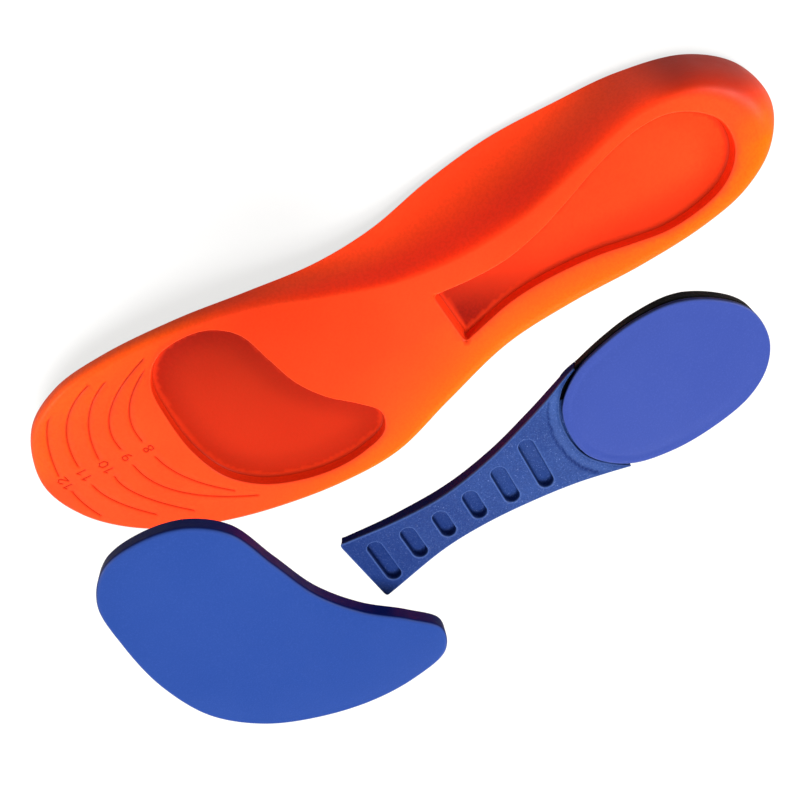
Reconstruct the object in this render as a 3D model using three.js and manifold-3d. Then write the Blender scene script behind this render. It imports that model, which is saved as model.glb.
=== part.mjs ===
// Cushioned insole for a right foot, shown with its two cushioning inserts drawn out of their pockets.
// The foam body lies sole side up: +Z is the sole's outward normal, +Y points to the toe and +X to the
// arch (medial) side. The origin is on the flat of the sole, between the two pockets.
import * as THREE from 'three';
import Module from 'manifold-3d';

const wasm = await Module();
wasm.setup();

// ---- driving dimensions, mm ----
const FOAM_THICKNESS = 8.5; // sole plane to the foot side of the foam, away from the edge
const RIM_WIDTH = 2.4; // thickness of the heel cup at its free edge
const FLANGE_WIDTH = 1.2; // width and drop of the slanting edge of the arch's flared wall
const FLANGE_DROP = 1.6;
const FLANGE_BELLY = 0.75; // power that fills the foot side out under the flared wall
const EDGE_WIDTH = 0.4; // flat left at the thin edge round the forefoot
const FORE_EDGE = 5.5; // edge thickness round the toe
const FULL_WALL = 20; // rim depth from which the wall has its full rim width
const FLOOR_INSET = 7; // how far the foot-side floor starts inside the flat of the sole
const TOE_SPRING = 5; // how far the toe curls away from the sole plane
const SPRING_START = 80; // y where the toe curl starts
const SPRING_LENGTH = 68;
const GAP = 0.3; // clearance between neighbouring pieces
const INSERT_GAP = 0.42; // clearance between an insert's wall and its pocket
const COVER_THICKNESS = 1.2;
const POCKET_DEPTH = 5.8;
const INSERT_TOP = -0.3; // top of a seated insert, just under the sole plane
const INSERT_BOTTOM = -5.5;
const FORE_LIFT = new THREE.Vector3(20.2, -11.1, 139.5); // seat to shown place, forefoot insert
const HEEL_LIFT = new THREE.Vector3(17.8, 42, 128.7); // seat to shown place, heel insert
const PAD_THICKNESS = 1.7; // smooth gel oval over the heel lobe
const PAD_DOME = 0.6; // extra height at the middle of the oval
const TONGUE_THICKNESS = 1.1; // the plate's tongue between the oval and the black layer
const TONGUE_INSET = 4;
const LEDGE_WIDTH = 3.3; // shallow step in the plate round the front of the oval
const LEDGE_DEPTH = 0.5;
const NECK_CENTRE_X = 3; // neck that joins the tongue to the plate
const NECK_HALF_WIDTH = 9;
const NECK_BACK_Y = -98;
const NECK_FRONT_Y = -76;
const LOBE_START_Y = -92; // behind here the heel insert is only the oval and the black layer
const SLOT_COUNT = 6;
const SLOT_PITCH = 9.25;
const SLOT_FIRST_Y = -26.8;
const SLOT_WIDTH = 4;
const SLOT_DEPTH = 2.4;
const SLOT_LATERAL_MARGIN = 2.6; // slot end to the plate's edge, lateral side
const SLOT_MEDIAL_MARGIN = 3.2;
const TRIM_GROOVE_WIDTH = 0.7;
const TRIM_GROOVE_DEPTH = 0.4;
const TRIM_TO_POCKET = 2; // foam left whole between a trim line and the forefoot pocket
const CUTTER_RISE = 5; // how far every cutter stands above the sole plane
const BLOCK_HALF_WIDTH = 40; // block that clears everything behind LOBE_START_Y
const BLOCK_BACK_Y = -150;

const ROUND_SEGMENTS = 126; // points round the body
const WALL_RINGS = 6;
const OUTLINE_SEGMENTS = 84; // points round a pocket or an insert
const TRIM_SEGMENTS = 10;
const SLOT_END_SEGMENTS = 6;
const CORNER_SHARE = 0.1; // share of the heel pocket's front edge that each corner rounds off
const DOME_RINGS = [0.35, 0.7, 1]; // rings of the oval's dome, as shares of its outline
const INNER_RINGS = [0.7, 0.35]; // rings inside the flats, as shares of the way from the middle line
const MIDDLE_X = 2; // the body's middle line, from heel to toe
const MIDDLE_HEEL_Y = -112;
const MIDDLE_TOE_Y = 108;

// Bezier handles of the wall's section, [rounded wall, flared wall], as shares of its width and depth.
const FIRST_ACROSS = [0.6, 0.26];
const SECOND_ACROSS = [0.95, 0.3];
const SECOND_DOWN = [0.35, 0.95];

// Stations round the body, toe tip first and then down the medial side:
// [rim x, rim y, rim z, flat x, flat y, flare], where flare 1 is a hollow wall that spreads at its rim
// (the arch) and 0 is a full, rounded wall (the heel cup and the forefoot edge).
const STATIONS = [
  [8.5, 152, -FORE_EDGE, 8.5, 148, 0],
  [30.5, 140, -FORE_EDGE, 28.5, 136.5, 0],
  [41.5, 120, -FORE_EDGE, 38, 118.5, 0],
  [44.5, 96, -FORE_EDGE, 41, 96, 0],
  [43, 66, -FORE_EDGE, 39.5, 66, 0],
  [38.5, 38.5, -7, 34, 38.5, 0.2],
  [33.5, 13.5, -12, 24.5, 14.5, 0.7],
  [32.5, -10, -17.5, 16, -10, 1],
  [36.5, -36, -22, 12.5, -36, 1],
  [39, -62, -24, 15, -62, 1],
  [38.5, -88, -24, 22, -87, 0.7],
  [37, -112, -23.5, 28, -111, 0.3],
  [31, -135.5, -23, 24.5, -127.5, 0],
  [18.5, -151.5, -23, 14.5, -138.5, 0],
  [4, -157.5, -23, 4, -142, 0],
  [-10.5, -152.5, -23, -7, -138.5, 0],
  [-21.5, -139, -23, -14.5, -129, 0],
  [-27.5, -119, -22.5, -18.5, -115, 0],
  [-30, -92, -22, -21, -92, 0],
  [-30.5, -62, -20, -21, -62, 0],
  [-32.5, -34, -14, -24, -34, 0],
  [-41.5, -4, -8.5, -35.5, -3, 0],
  [-51, 24, -6.2, -47, 25, 0],
  [-52, 50, -FORE_EDGE, -48.5, 50, 0],
  [-48, 80, -FORE_EDGE, -44.5, 79.5, 0],
  [-40.5, 107, -FORE_EDGE, -37.5, 105, 0],
  [-28, 133, -FORE_EDGE, -26, 130, 0],
  [-11, 148.5, -FORE_EDGE, -9.5, 145, 0],
];

// Forefoot pocket: a round lobe under the big-toe joint that tapers to a tip on the lateral side.
const FORE_POCKET = [
  [37.3, 66.7], [34.7, 56.3], [27.5, 48.8], [13.5, 45.3], [-0.5, 41.8], [-11.8, 35.3], [-21, 26.5],
  [-29, 20.8], [-37.5, 24], [-41.8, 35.3], [-42.8, 49], [-39.8, 64], [-33.3, 77.4], [-22.2, 87.2],
  [-6.1, 91.3], [12.2, 90.7], [26.5, 87.6], [35.4, 79],
];

// Heel pocket: medial flank from the front, round the heel lobe and back up the lateral flank.
const HEEL_FLANKS = [
  [4.5, -21.1], [3.4, -35], [3.8, -48.2], [7.3, -62.4], [12.6, -75.6], [18.5, -88.5], [22.4, -99.4],
  [24.3, -108.6], [23.9, -118.1], [19.7, -127], [12, -134.3], [2, -136], [-5.8, -133.1], [-11.7, -126.7],
  [-15.3, -116.3], [-16.5, -104.3], [-14.6, -91.3], [-12.3, -79.2], [-11.2, -66.2], [-11.2, -54.2],
  [-12.6, -42.2], [-18, -23.3],
];
const HEEL_FRONT_MEDIAL = [5.1, -18.9]; // sharp corners of the straight front edge
const HEEL_FRONT_LATERAL = [-19, -21];

// Smooth oval over the heel lobe: its own rounded front, then the lobe's edge.
const OVAL = [
  [3.1, -83], [11.7, -84.6], [18.7, -91.1], [22.3, -99.4], [24.3, -108.6], [23.9, -118.1], [19.7, -127],
  [12, -134.3], [2, -136], [-5.8, -133.1], [-11.7, -126.7], [-15.3, -116.3], [-16.5, -104.3],
  [-14.2, -93.3], [-6.5, -85.1],
];

const OVAL_CENTRE = [4.1, -109.5];

// Trim lines, each in two runs with a break for its size number: the medial run ends and the lateral
// run starts beside the number. Every run is [start, middle, end].
const TRIM_LINES = [
  [[[37.5, 122], [28, 133.5], [10.5, 142]], [[1, 142.5], [-6, 142.3], [-13.5, 140.5]]],
  [[[38.5, 107], [28.5, 124], [11, 132.5]], [[0, 133.5], [-11, 130.5], [-24, 121]]],
  [[[36.5, 101], [26.5, 115.5], [10, 123.5]], [[-0.5, 123.5], [-13, 120.5], [-30, 107]]],
  [[[37.5, 83.5], [25.5, 106.5], [9.5, 113.5]], [[0.5, 114], [-19, 106.5], [-37, 81.5]]],
  [[[36.5, 78.5], [24.5, 98.5], [8.5, 104.5]], [[-0.5, 104.5], [-15, 100], [-30, 88]]],
];

// ---- small helpers ----
const lerp = THREE.MathUtils.lerp;
const clamp01 = (value) => THREE.MathUtils.clamp(value, 0, 1);

// z drop of the toe curl at y
function toeSpring(y) {
  return TOE_SPRING * clamp01((y - SPRING_START) / SPRING_LENGTH) ** 2;
}

function material(color, roughness) {
  return new THREE.MeshStandardMaterial({ color, roughness, metalness: 0 });
}

function toGeometry(positions, indices) {
  const geometry = new THREE.BufferGeometry();
  geometry.setAttribute('position', new THREE.BufferAttribute(Float32Array.from(positions), 3));
  geometry.setIndex(indices);
  geometry.computeVertexNormals();
  return geometry;
}

// A closed skin through rings of equal length; the first ring's cap faces +Z and the last one's -Z.
function ringSkin(rings) {
  const count = rings[0].length;
  const positions = rings.flat().flatMap((point) => [point.x, point.y, point.z]);
  const indices = [];
  for (let ring = 0; ring + 1 < rings.length; ring += 1) {
    for (let i = 0; i < count; i += 1) {
      const next = (i + 1) % count;
      const a = ring * count + i;
      const b = ring * count + next;
      indices.push(a, a + count, b, b, a + count, b + count);
    }
  }
  const inPlan = (ring) => ring.map(({ x, y }) => new THREE.Vector2(x, y));
  const cap = (ring) => THREE.ShapeUtils.triangulateShape(inPlan(ring), []);
  const lastStart = (rings.length - 1) * count;
  for (const [a, b, c] of cap(rings[0])) indices.push(a, b, c);
  for (const [a, b, c] of cap(rings.at(-1))) indices.push(lastStart + a, lastStart + c, lastStart + b);
  return toGeometry(positions, indices);
}

function toSolid(geometry) {
  const vertProperties = geometry.getAttribute('position').array;
  const triVerts = Uint32Array.from(geometry.getIndex().array);
  return new wasm.Manifold(new wasm.Mesh({ numProp: 3, vertProperties, triVerts }));
}

function fromSolid(solid) {
  const mesh = solid.getMesh();
  return toGeometry(mesh.vertProperties, Array.from(mesh.triVerts));
}

// ---- outlines ----
const isClockwise = (points) => THREE.ShapeUtils.area(points) < 0;

// Points round a closed smooth outline, anticlockwise.
function smoothOutline(corners, count = OUTLINE_SEGMENTS) {
  const curve = new THREE.CatmullRomCurve3(corners.map(([x, y]) => new THREE.Vector3(x, y, 0)), true);
  const points = curve.getSpacedPoints(count).slice(0, count).map(({ x, y }) => new THREE.Vector2(x, y));
  return isClockwise(points) ? points.reverse() : points;
}

// The heel pocket has two small rounded corners and a straight edge at its front.
function heelOutline() {
  const shape = new THREE.Shape();
  const flanks = HEEL_FLANKS.map(([x, y]) => new THREE.Vector2(x, y));
  const lateral = new THREE.Vector2(...HEEL_FRONT_LATERAL);
  const medial = new THREE.Vector2(...HEEL_FRONT_MEDIAL);
  const frontStart = lateral.clone().lerp(medial, CORNER_SHARE);
  const frontEnd = medial.clone().lerp(lateral, CORNER_SHARE);
  shape.moveTo(flanks[0].x, flanks[0].y);
  shape.splineThru(flanks.slice(1));
  shape.quadraticCurveTo(lateral.x, lateral.y, frontStart.x, frontStart.y);
  shape.lineTo(frontEnd.x, frontEnd.y);
  shape.quadraticCurveTo(medial.x, medial.y, flanks[0].x, flanks[0].y);
  const points = shape.getSpacedPoints(OUTLINE_SEGMENTS).slice(0, OUTLINE_SEGMENTS);
  return isClockwise(points) ? points.reverse() : points;
}

// Outward unit normals of an anticlockwise outline.
function outlineNormals(points) {
  return points.map((_, i) => {
    const before = points.at(i - 1);
    const after = points[(i + 1) % points.length];
    return new THREE.Vector2(after.y - before.y, before.x - after.x).normalize();
  });
}

function offsetOutline(points, distance) {
  const normals = outlineNormals(points);
  return points.map((point, i) => point.clone().addScaledVector(normals[i], distance));
}

// A prism from zTop down to zBottom. Walls that face the way the insert leaves lean with its path, so
// that it draws out without rubbing; the others are upright.
function prism(outline, zTop, zBottom, lift = null) {
  const normals = outlineNormals(outline);
  const ringAt = (z) => outline.map((point, i) => {
    const lean = lift ? new THREE.Vector2(lift.x / lift.z, lift.y / lift.z) : new THREE.Vector2();
    const draft = Math.max(0, normals[i].dot(lean)) * Math.min(z, 0);
    return new THREE.Vector3(point.x + normals[i].x * draft, point.y + normals[i].y * draft, z);
  });
  const levels = zTop > 0 && zBottom < 0 ? [zTop, 0, zBottom] : [zTop, zBottom];
  return ringSkin(levels.map(ringAt));
}

// ---- foam body and top cover ----
const rimCurve = new THREE.CatmullRomCurve3(STATIONS.map(([x, y, z]) => new THREE.Vector3(x, y, z)), true);
const flatCurve = new THREE.CatmullRomCurve3(
  STATIONS.map(([, , , x, y, flare]) => new THREE.Vector3(x, y, flare)),
  true,
);

// The section of the body at each place round it: rim, edge of the flat, inward direction and flare.
function sections() {
  const at = (i) => i / ROUND_SEGMENTS;
  const indices = [...Array(ROUND_SEGMENTS).keys()].reverse(); // stations run clockwise seen from +Z
  const flats = indices.map((i) => flatCurve.getPoint(at(i)));
  const normals = outlineNormals(flats.map(({ x, y }) => new THREE.Vector2(x, y)));
  return indices.map((index, i) => {
    const rim = rimCurve.getPoint(at(index));
    const flare = clamp01(flats[i].z);
    return { rim, flat: flats[i], out: normals[i], depth: -rim.z, flare };
  });
}

// Cubic Bezier from 0 to 1 with handles at b and c.
function easeBetween(t, b, c) {
  const s = 1 - t;
  return 3 * s ** 2 * t * b + 3 * s * t ** 2 * c + t ** 3;
}

// Sole side: from the edge of the flat (t = 0) over the wall to the rim (t = 1).
function solePoint({ rim, flat, depth, flare }, t) {
  const across = easeBetween(t, lerp(...FIRST_ACROSS, flare), lerp(...SECOND_ACROSS, flare));
  const down = easeBetween(t, 0, lerp(...SECOND_DOWN, flare)) * depth;
  const y = lerp(flat.y, rim.y, across);
  return new THREE.Vector3(lerp(flat.x, rim.x, across), y, -down - toeSpring(y));
}

// Foot side: from the inner edge of the rim (t = 1) down to the floor (t = 0), sunk by inset.
function footPoint({ rim, flat, out, depth, flare }, t, inset = 0) {
  const wall = clamp01((depth - FORE_EDGE) / (FULL_WALL - FORE_EDGE));
  const rimInset = lerp(EDGE_WIDTH, lerp(RIM_WIDTH, FLANGE_WIDTH, flare), wall) + inset;
  const x = lerp(flat.x - out.x * (FLOOR_INSET + inset), rim.x - out.x * rimInset, t);
  const y = lerp(flat.y - out.y * (FLOOR_INSET + inset), rim.y - out.y * rimInset, t);
  const rise = lerp(t ** 2, THREE.MathUtils.smoothstep(t ** FLANGE_BELLY, 0, 1), flare);
  const edge = -depth - FLANGE_DROP * flare;
  return new THREE.Vector3(x, y, lerp(-FOAM_THICKNESS, edge, rise) - inset - toeSpring(y));
}

// A ring's points drawn in towards the middle line, at the height that the toe curl gives them.
function drawnIn(ring, share, z) {
  return ring.map((point) => {
    const middleY = THREE.MathUtils.clamp(point.y, MIDDLE_HEEL_Y, MIDDLE_TOE_Y);
    const y = lerp(middleY, point.y, share);
    return new THREE.Vector3(lerp(MIDDLE_X, point.x, share), y, z - toeSpring(y));
  });
}

const steps = (count) => [...Array(count + 1).keys()].map((i) => i / count);

function foamSkin() {
  const places = sections();
  const sole = steps(WALL_RINGS).map((t) => places.map((place) => solePoint(place, t)));
  const foot = steps(WALL_RINGS).reverse().map((t) => places.map((place) => footPoint(place, t)));
  const soleFlat = INNER_RINGS.map((share) => drawnIn(sole[0], share, 0)).reverse();
  const floor = INNER_RINGS.map((share) => drawnIn(foot.at(-1), share, -FOAM_THICKNESS));
  return ringSkin([...soleFlat, ...sole, ...foot, ...floor]);
}

// A ribbon-shaped cutter along a run of a trim line.
function trimCutter(run) {
  const [start, middle, end] = run.map(([x, y]) => new THREE.Vector2(x, y));
  const chordMiddle = start.clone().lerp(end, 0.5);
  const control = middle.clone().multiplyScalar(2).sub(chordMiddle);
  const curve = new THREE.QuadraticBezierCurve(start, control, end);
  const along = curve.getPoints(TRIM_SEGMENTS);
  const side = (sign) => along.map((point, i) => {
    const tangent = curve.getTangent(i / (along.length - 1));
    return new THREE.Vector2(point.x - tangent.y * sign, point.y + tangent.x * sign);
  });
  const edge = [...side(-TRIM_GROOVE_WIDTH / 2), ...side(TRIM_GROOVE_WIDTH / 2).reverse()];
  const outline = isClockwise(edge) ? edge.reverse() : edge;
  const top = outline.map(({ x, y }) => new THREE.Vector3(x, y, CUTTER_RISE));
  const bottom = outline.map(({ x, y }) => new THREE.Vector3(x, y, -TRIM_GROOVE_DEPTH - toeSpring(y)));
  return toSolid(ringSkin([top, bottom]));
}

const foreOutline = smoothOutline(FORE_POCKET);
const heelPocketOutline = heelOutline();

function foamBody() {
  let solid = toSolid(foamSkin());
  solid = solid.subtract(toSolid(prism(foreOutline, CUTTER_RISE, -POCKET_DEPTH, FORE_LIFT)));
  solid = solid.subtract(toSolid(prism(heelPocketOutline, CUTTER_RISE, -POCKET_DEPTH, HEEL_LIFT)));
  const guardOutline = offsetOutline(foreOutline, TRIM_TO_POCKET);
  const pocketGuard = toSolid(prism(guardOutline, CUTTER_RISE, -POCKET_DEPTH));
  for (const run of TRIM_LINES.flat()) {
    solid = solid.subtract(trimCutter(run).subtract(pocketGuard));
  }
  return new THREE.Mesh(fromSolid(solid), material('#ff5a2b', 0.55));
}

// Thin textile layer on the foot side, following the foam from rim to floor.
function topCover() {
  const places = sections();
  const skinAt = (inset) => {
    const wall = steps(WALL_RINGS).map((t) => places.map((place) => footPoint(place, t, inset)));
    const floor = INNER_RINGS.map((share) => drawnIn(wall[0], share, -FOAM_THICKNESS - inset));
    return [...floor.reverse(), ...wall];
  };
  const towardFoam = skinAt(GAP);
  const towardFoot = skinAt(GAP + COVER_THICKNESS).reverse();
  return new THREE.Mesh(ringSkin([...towardFoam, ...towardFoot]), material('#2b3038', 0.9));
}

// ---- inserts, modelled in their seats ----
const insertFore = offsetOutline(foreOutline, -INSERT_GAP);
const insertHeel = offsetOutline(heelPocketOutline, -INSERT_GAP);
const oval = offsetOutline(smoothOutline(OVAL), -INSERT_GAP);

function foreGelPad() {
  const solid = prism(insertFore, INSERT_TOP, INSERT_BOTTOM, FORE_LIFT);
  return new THREE.Mesh(solid, material('#3358b4', 0.42));
}

const padBottom = INSERT_TOP - PAD_THICKNESS;
const tongueTop = padBottom - GAP;
const tongueBottom = tongueTop - TONGUE_THICKNESS;

// Smooth gel oval: a thin disc with a low dome.
function heelGelPad() {
  const centre = new THREE.Vector2(...OVAL_CENTRE);
  const ringAt = (scale) => {
    const z = INSERT_TOP + PAD_DOME * (1 - scale ** 2);
    return oval.map((point) => {
      const at = centre.clone().lerp(point, scale);
      return new THREE.Vector3(at.x, at.y, z);
    });
  };
  const bottom = oval.map(({ x, y }) => new THREE.Vector3(x, y, padBottom));
  return new THREE.Mesh(ringSkin([...DOME_RINGS.map(ringAt), bottom]), material('#4a63bd', 0.38));
}

// Black layer under the oval, with a shallow recess for the plate's tongue.
function heelBackingLayer() {
  const recess = toSolid(prism(offsetOutline(oval, GAP - TONGUE_INSET), CUTTER_RISE, tongueBottom - GAP));
  const mouth = toSolid(prism(neckOutline(GAP), CUTTER_RISE, tongueBottom - GAP));
  const layer = toSolid(prism(oval, tongueTop, INSERT_BOTTOM, HEEL_LIFT));
  return new THREE.Mesh(fromSolid(layer.subtract(recess.add(mouth))), material('#15161c', 0.6));
}

function rectangle(xMin, xMax, yMin, yMax) {
  return [[xMin, yMin], [xMax, yMin], [xMax, yMax], [xMin, yMax]].map(([x, y]) => new THREE.Vector2(x, y));
}

// Neck that carries the tongue through the front wall of the black layer.
function neckOutline(grow) {
  const halfWidth = NECK_HALF_WIDTH + grow;
  return rectangle(NECK_CENTRE_X - halfWidth, NECK_CENTRE_X + halfWidth, NECK_BACK_Y, NECK_FRONT_Y);
}

// Where the plate's edge is at height y: [lateral x, medial x].
function plateSpan(y) {
  const crossings = insertHeel.flatMap((point, i) => {
    const next = insertHeel[(i + 1) % insertHeel.length];
    const crosses = (point.y - y) * (next.y - y) < 0;
    return crosses ? [lerp(point.x, next.x, (y - point.y) / (next.y - point.y))] : [];
  });
  return [Math.min(...crossings), Math.max(...crossings)];
}

// Round-ended slot across the plate.
function slotCutter(y) {
  const [lateral, medial] = plateSpan(y);
  const radius = SLOT_WIDTH / 2;
  const shape = new THREE.Shape();
  shape.absarc(medial - SLOT_MEDIAL_MARGIN - radius, y, radius, -Math.PI / 2, Math.PI / 2);
  shape.absarc(lateral + SLOT_LATERAL_MARGIN + radius, y, radius, Math.PI / 2, 1.5 * Math.PI);
  const outline = shape.extractPoints(SLOT_END_SEGMENTS).shape;
  return toSolid(prism(outline, CUTTER_RISE, INSERT_TOP - SLOT_DEPTH));
}

// Textured arch plate: slotted shank, a ledge round the oval and a thin tongue under it.
function archSupportPlate() {
  const shankWithLobe = toSolid(prism(insertHeel, INSERT_TOP, INSERT_BOTTOM, HEEL_LIFT));
  const through = INSERT_BOTTOM - CUTTER_RISE;
  const aroundOval = toSolid(prism(offsetOutline(oval, GAP), CUTTER_RISE, through));
  const behindOval = toSolid(prism(lobeBlock(), CUTTER_RISE, through));
  const ledge = toSolid(prism(offsetOutline(oval, LEDGE_WIDTH), CUTTER_RISE, INSERT_TOP - LEDGE_DEPTH));
  const tongue = toSolid(prism(offsetOutline(oval, -TONGUE_INSET), tongueTop, tongueBottom));
  const neck = toSolid(prism(neckOutline(0), tongueTop, tongueBottom));
  let solid = shankWithLobe.subtract(aroundOval.add(behindOval)).subtract(ledge);
  solid = solid.add(tongue.add(neck));
  for (let i = 0; i < SLOT_COUNT; i += 1) {
    solid = solid.subtract(slotCutter(SLOT_FIRST_Y - i * SLOT_PITCH));
  }
  return new THREE.Mesh(fromSolid(solid), material('#2c4796', 0.62));
}

// Everything behind the widest part of the oval, where the lobe belongs to the oval and black layer.
function lobeBlock() {
  return rectangle(-BLOCK_HALF_WIDTH, BLOCK_HALF_WIDTH, BLOCK_BACK_Y, LOBE_START_Y);
}

// ---- assembly ----
const group = new THREE.Group();

function addPiece(name, mesh, lift = null) {
  mesh.name = name;
  if (lift) mesh.position.copy(lift);
  group.add(mesh);
}

addPiece('foam_body', foamBody());
addPiece('top_cover', topCover());
addPiece('forefoot_gel_pad', foreGelPad(), FORE_LIFT);
addPiece('arch_support_plate', archSupportPlate(), HEEL_LIFT);
addPiece('heel_gel_pad', heelGelPad(), HEEL_LIFT);
addPiece('heel_backing_layer', heelBackingLayer(), HEEL_LIFT);

export default group;
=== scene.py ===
"""Looks of the cushioned insole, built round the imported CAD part. Lengths are in mm until a mesh is made."""
import math

import bpy
import numpy as np
from mathutils import Matrix, Vector, noise
from mathutils.geometry import delaunay_2d_cdt
from mathutils.kdtree import KDTree


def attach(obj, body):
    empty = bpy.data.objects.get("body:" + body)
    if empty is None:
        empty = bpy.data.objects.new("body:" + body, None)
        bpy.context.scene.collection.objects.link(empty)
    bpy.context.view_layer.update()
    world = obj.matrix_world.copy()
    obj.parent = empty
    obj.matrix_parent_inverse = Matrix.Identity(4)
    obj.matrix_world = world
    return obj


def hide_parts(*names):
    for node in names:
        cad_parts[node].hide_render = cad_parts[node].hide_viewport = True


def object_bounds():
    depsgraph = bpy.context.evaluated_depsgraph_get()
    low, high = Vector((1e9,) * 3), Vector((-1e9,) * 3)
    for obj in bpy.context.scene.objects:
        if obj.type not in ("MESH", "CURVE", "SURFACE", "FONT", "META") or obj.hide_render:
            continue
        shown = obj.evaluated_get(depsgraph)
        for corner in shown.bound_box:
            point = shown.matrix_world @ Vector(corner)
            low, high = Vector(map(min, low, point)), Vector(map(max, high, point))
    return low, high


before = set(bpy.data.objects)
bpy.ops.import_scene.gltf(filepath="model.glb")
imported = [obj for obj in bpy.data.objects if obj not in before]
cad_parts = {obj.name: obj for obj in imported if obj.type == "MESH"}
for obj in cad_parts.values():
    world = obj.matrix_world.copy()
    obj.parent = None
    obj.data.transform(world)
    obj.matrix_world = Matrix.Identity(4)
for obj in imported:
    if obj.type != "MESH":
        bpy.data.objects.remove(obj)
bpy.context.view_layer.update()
MM = 0.001

# ---- driving dimensions, mm, the same as the CAD part's ----
FOAM_THICKNESS = 8.5
RIM_WIDTH = 2.4
FLANGE_WIDTH = 1.2  # rim width where the arch flares out
FLANGE_DROP = 1.6  # how far the foot side's edge lies behind the rim there
FLANGE_BELLY = 0.75
EDGE_WIDTH = 0.4  # rim width round the toe
FORE_EDGE = 5.5
FULL_WALL = 20
FLOOR_INSET = 7
TOE_SPRING = 5
SPRING_START = 80
SPRING_LENGTH = 68
GAP = 0.3  # between glued pieces
INSERT_GAP = 0.42  # between an insert and its pocket
COVER_THICKNESS = 1.2
POCKET_DEPTH = 5.8
INSERT_TOP = -0.3
INSERT_BOTTOM = -5.5
FORE_LIFT = np.array([20.2, -11.1, 139.5])
HEEL_LIFT = np.array([17.8, 42, 128.7])
PAD_THICKNESS = 1.7
PAD_BOTTOM = INSERT_TOP - PAD_THICKNESS
TONGUE_THICKNESS = 1.1
TONGUE_TOP = PAD_BOTTOM - GAP
TONGUE_BOTTOM = TONGUE_TOP - TONGUE_THICKNESS
TONGUE_INSET = 4
LEDGE_WIDTH = 3.3
LEDGE_DEPTH = 0.5
NECK_CENTRE_X = 3
NECK_HALF_WIDTH = 9
NECK_BACK_Y = -98
NECK_FRONT_Y = -81.5
SLOT_COUNT = 6
SLOT_PITCH = 9.25
SLOT_FIRST_Y = -26.8
SLOT_WIDTH = 4
SLOT_DEPTH = 2.4
SLOT_LATERAL_MARGIN = 2.6
SLOT_MEDIAL_MARGIN = 3.2
MIDDLE_X = 2
MIDDLE_HEEL_Y = -112
MIDDLE_TOE_Y = 108

# ---- dimensions of the visual model only, mm ----
POCKET_LIP = 0.7
POCKET_FILLET = 1.0
GROOVE_DEPTH = 0.45
GROOVE_HALF_WIDTH = 0.42
DIGIT_HALF_WIDTH = 0.3
TRIM_CLEARANCE = 1.9  # between the forefoot pocket and the trim lines' ends
FORE_PAD_EDGE = 1.1
FORE_PAD_CROWN = 0.55
OVAL_EDGE = 0.5
OVAL_DOME = 0.6
OVAL_HALF_SIZE = [20.5, 27]
BACKING_EDGE = 0.4
PLATE_EDGE = 0.55
PLATE_THINNING = 2.2  # at the plate's front edge, from below
PLATE_FULL_WIDTH = 2.2  # width from which the plate's edge is fully rounded
LATERAL_TIP_Y = -93.6
MEDIAL_TIP_Y = -91
TIP_GAP = 0.1  # between the plate's tips and the black layer
TIP_SINK_LENGTH = 9
TIP_SLANT_LENGTH = 4
FRONT_GAP = 0.06  # between the plate's hollow and the black layer

# [rim x, rim y, rim z, flat x, flat y, flare] round the body, toe tip first and then the medial side
STATIONS = np.array([
    [8.5, 152, -FORE_EDGE, 8.5, 148, 0],
    [30.5, 140, -FORE_EDGE, 28.5, 136.5, 0],
    [41.5, 120, -FORE_EDGE, 38, 118.5, 0],
    [44.5, 96, -FORE_EDGE, 41, 96, 0],
    [43, 66, -FORE_EDGE, 39.5, 66, 0],
    [38.5, 38.5, -7, 34, 38.5, 0.2],
    [33.5, 13.5, -12, 24.5, 14.5, 0.7],
    [32.5, -10, -17.5, 16, -10, 1],
    [36.5, -36, -22, 12.5, -36, 1],
    [39, -62, -24, 15, -62, 1],
    [38.5, -88, -24, 22, -87, 0.7],
    [37, -112, -23.5, 28, -111, 0.3],
    [31, -135.5, -23, 24.5, -127.5, 0],
    [18.5, -151.5, -23, 14.5, -138.5, 0],
    [4, -157.5, -23, 4, -142, 0],
    [-10.5, -152.5, -23, -7, -138.5, 0],
    [-21.5, -139, -23, -14.5, -129, 0],
    [-27.5, -119, -22.5, -18.5, -115, 0],
    [-30, -92, -22, -21, -92, 0],
    [-30.5, -62, -20, -21, -62, 0],
    [-32.5, -34, -14, -24, -34, 0],
    [-41.5, -4, -8.5, -35.5, -3, 0],
    [-51, 24, -6.2, -47, 25, 0],
    [-52, 50, -FORE_EDGE, -48.5, 50, 0],
    [-48, 80, -FORE_EDGE, -44.5, 79.5, 0],
    [-40.5, 107, -FORE_EDGE, -37.5, 105, 0],
    [-28, 133, -FORE_EDGE, -26, 130, 0],
    [-11, 148.5, -FORE_EDGE, -9.5, 145, 0],
])
FORE_POCKET = [
    [37.3, 66.7], [34.7, 56.3], [27.5, 48.8], [13.5, 45.3], [-0.5, 41.8], [-11.8, 35.3], [-21, 26.5],
    [-29, 20.8], [-37.5, 24], [-41.8, 35.3], [-42.8, 49], [-39.8, 64], [-33.3, 77.4], [-22.2, 87.2],
    [-6.1, 91.3], [12.2, 90.7], [26.5, 87.6], [35.4, 79],
]
HEEL_FLANKS = [
    [4.5, -21.1], [3.4, -35], [3.8, -48.2], [7.3, -62.4], [12.6, -75.6], [18.5, -88.5], [22.4, -99.4],
    [24.3, -108.6], [23.9, -118.1], [19.7, -127], [12, -134.3], [2, -136], [-5.8, -133.1], [-11.7, -126.7],
    [-15.3, -116.3], [-16.5, -104.3], [-14.6, -91.3], [-12.3, -79.2], [-11.2, -66.2], [-11.2, -54.2],
    [-12.6, -42.2], [-18, -23.3],
]
HEEL_FRONT_MEDIAL = np.array([5.1, -18.9])
HEEL_FRONT_LATERAL = np.array([-19, -21])
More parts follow.
